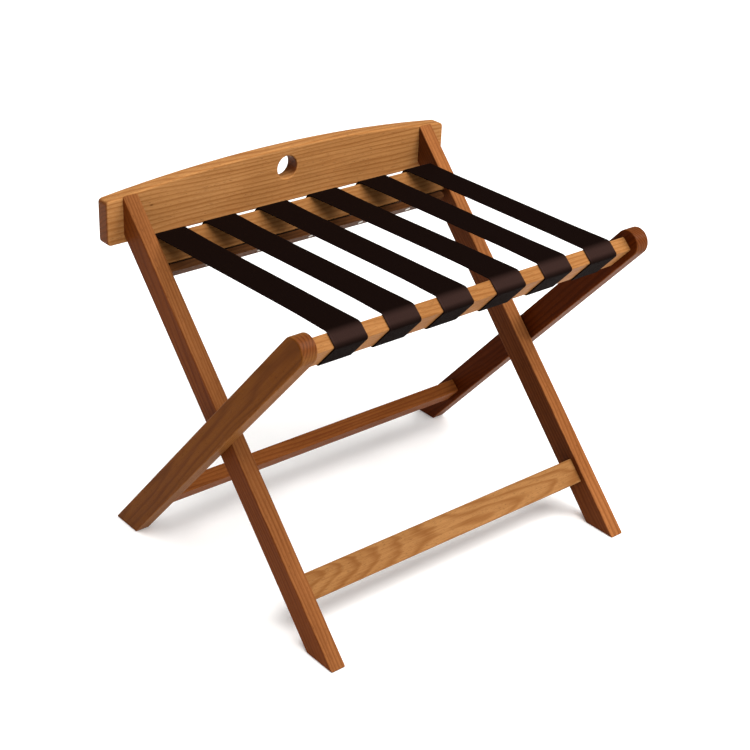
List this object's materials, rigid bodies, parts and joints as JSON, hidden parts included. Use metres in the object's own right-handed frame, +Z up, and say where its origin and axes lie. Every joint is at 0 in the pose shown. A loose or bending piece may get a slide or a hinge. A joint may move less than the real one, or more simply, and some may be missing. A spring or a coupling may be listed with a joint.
{
  "type": "folding luggage rack",
  "caption": "Wooden X-frame luggage rack with an arched headboard and dark webbing straps; the two crossed frames fold together on side pivots.",
  "frame": {"origin": "on the floor, under the middle of the open rack's bounding box", "axes": "+X to the right along the rails, as seen from the front; +Y back towards the headboard; +Z up"},
  "size_m": [0.566, 0.4657, 0.485],
  "materials": {
    "board_wood": "golden oak stain under satin lacquer, grain along the board",
    "leg_wood": "reddish oak stain under satin lacquer, grain along the leg",
    "rail_wood": "golden oak stain under satin lacquer, grain along the rail",
    "dowel_wood": "bare beech",
    "webbing": "tightly woven dark brown webbing, slight sheen",
    "screw_steel": "zinc plated",
    "staple_steel": "galvanised wire",
    "pin_steel": "ground steel",
    "nylon": "natural nylon"
  },
  "bodies": {
    "inner_frame": {"headboard": "board_wood", "headboard_screws": "screw_steel", "inner_leg_left": "leg_wood", "inner_leg_right": "leg_wood", "rear_seat_rail": "rail_wood", "strap_batten": "rail_wood", "batten_screws": "screw_steel", "front_stretcher": "rail_wood", "inner_frame_dowels": "dowel_wood", "pivot_bush_left": "nylon", "pivot_bush_right": "nylon"},
    "outer_frame": {"outer_leg_left": "leg_wood", "outer_leg_right": "leg_wood", "front_seat_rail": "rail_wood", "rear_stretcher": "rail_wood", "outer_frame_dowels": "dowel_wood", "strap_staples": "staple_steel", "pivot_pin_left": "pin_steel", "pivot_pin_right": "pin_steel", "pivot_washer_left": "nylon", "pivot_washer_right": "nylon"},
    "strap_rear": {"strap_1_rear": "webbing", "strap_2_rear": "webbing", "strap_3_rear": "webbing", "strap_4_rear": "webbing", "strap_5_rear": "webbing", "strap_6_rear": "webbing"},
    "strap_front": {"strap_1_front": "webbing", "strap_2_front": "webbing", "strap_3_front": "webbing", "strap_4_front": "webbing", "strap_5_front": "webbing", "strap_6_front": "webbing"}
  },
  "joints": [
    {"name": "fold", "type": "hinge", "parent": "inner_frame", "child": "outer_frame", "pos_m": [0, -0.00065, 0.22], "axis": [-1, 0, 0], "range_deg": [0, 75]},
    {"name": "strap_rear_slack", "type": "hinge", "parent": "inner_frame", "child": "strap_rear", "pos_m": [0, -0.05216, 0.31853], "axis": [-1, 0, 0], "range_deg": [0, 75], "deforming": ["strap_1_rear", "strap_2_rear", "strap_3_rear", "strap_4_rear", "strap_5_rear", "strap_6_rear"]},
    {"name": "strap_front_slack", "type": "hinge", "parent": "outer_frame", "child": "strap_front", "pos_m": [0, 0.05416, 0.31673], "axis": [1, 0, 0], "range_deg": [0, 75], "deforming": ["strap_1_front", "strap_2_front", "strap_3_front", "strap_4_front", "strap_5_front", "strap_6_front"]}
  ],
  "couplings": [
    {"joint": "strap_rear_slack", "follows": "fold", "ratio": 1},
    {"joint": "strap_front_slack", "follows": "fold", "ratio": 1}
  ]
}
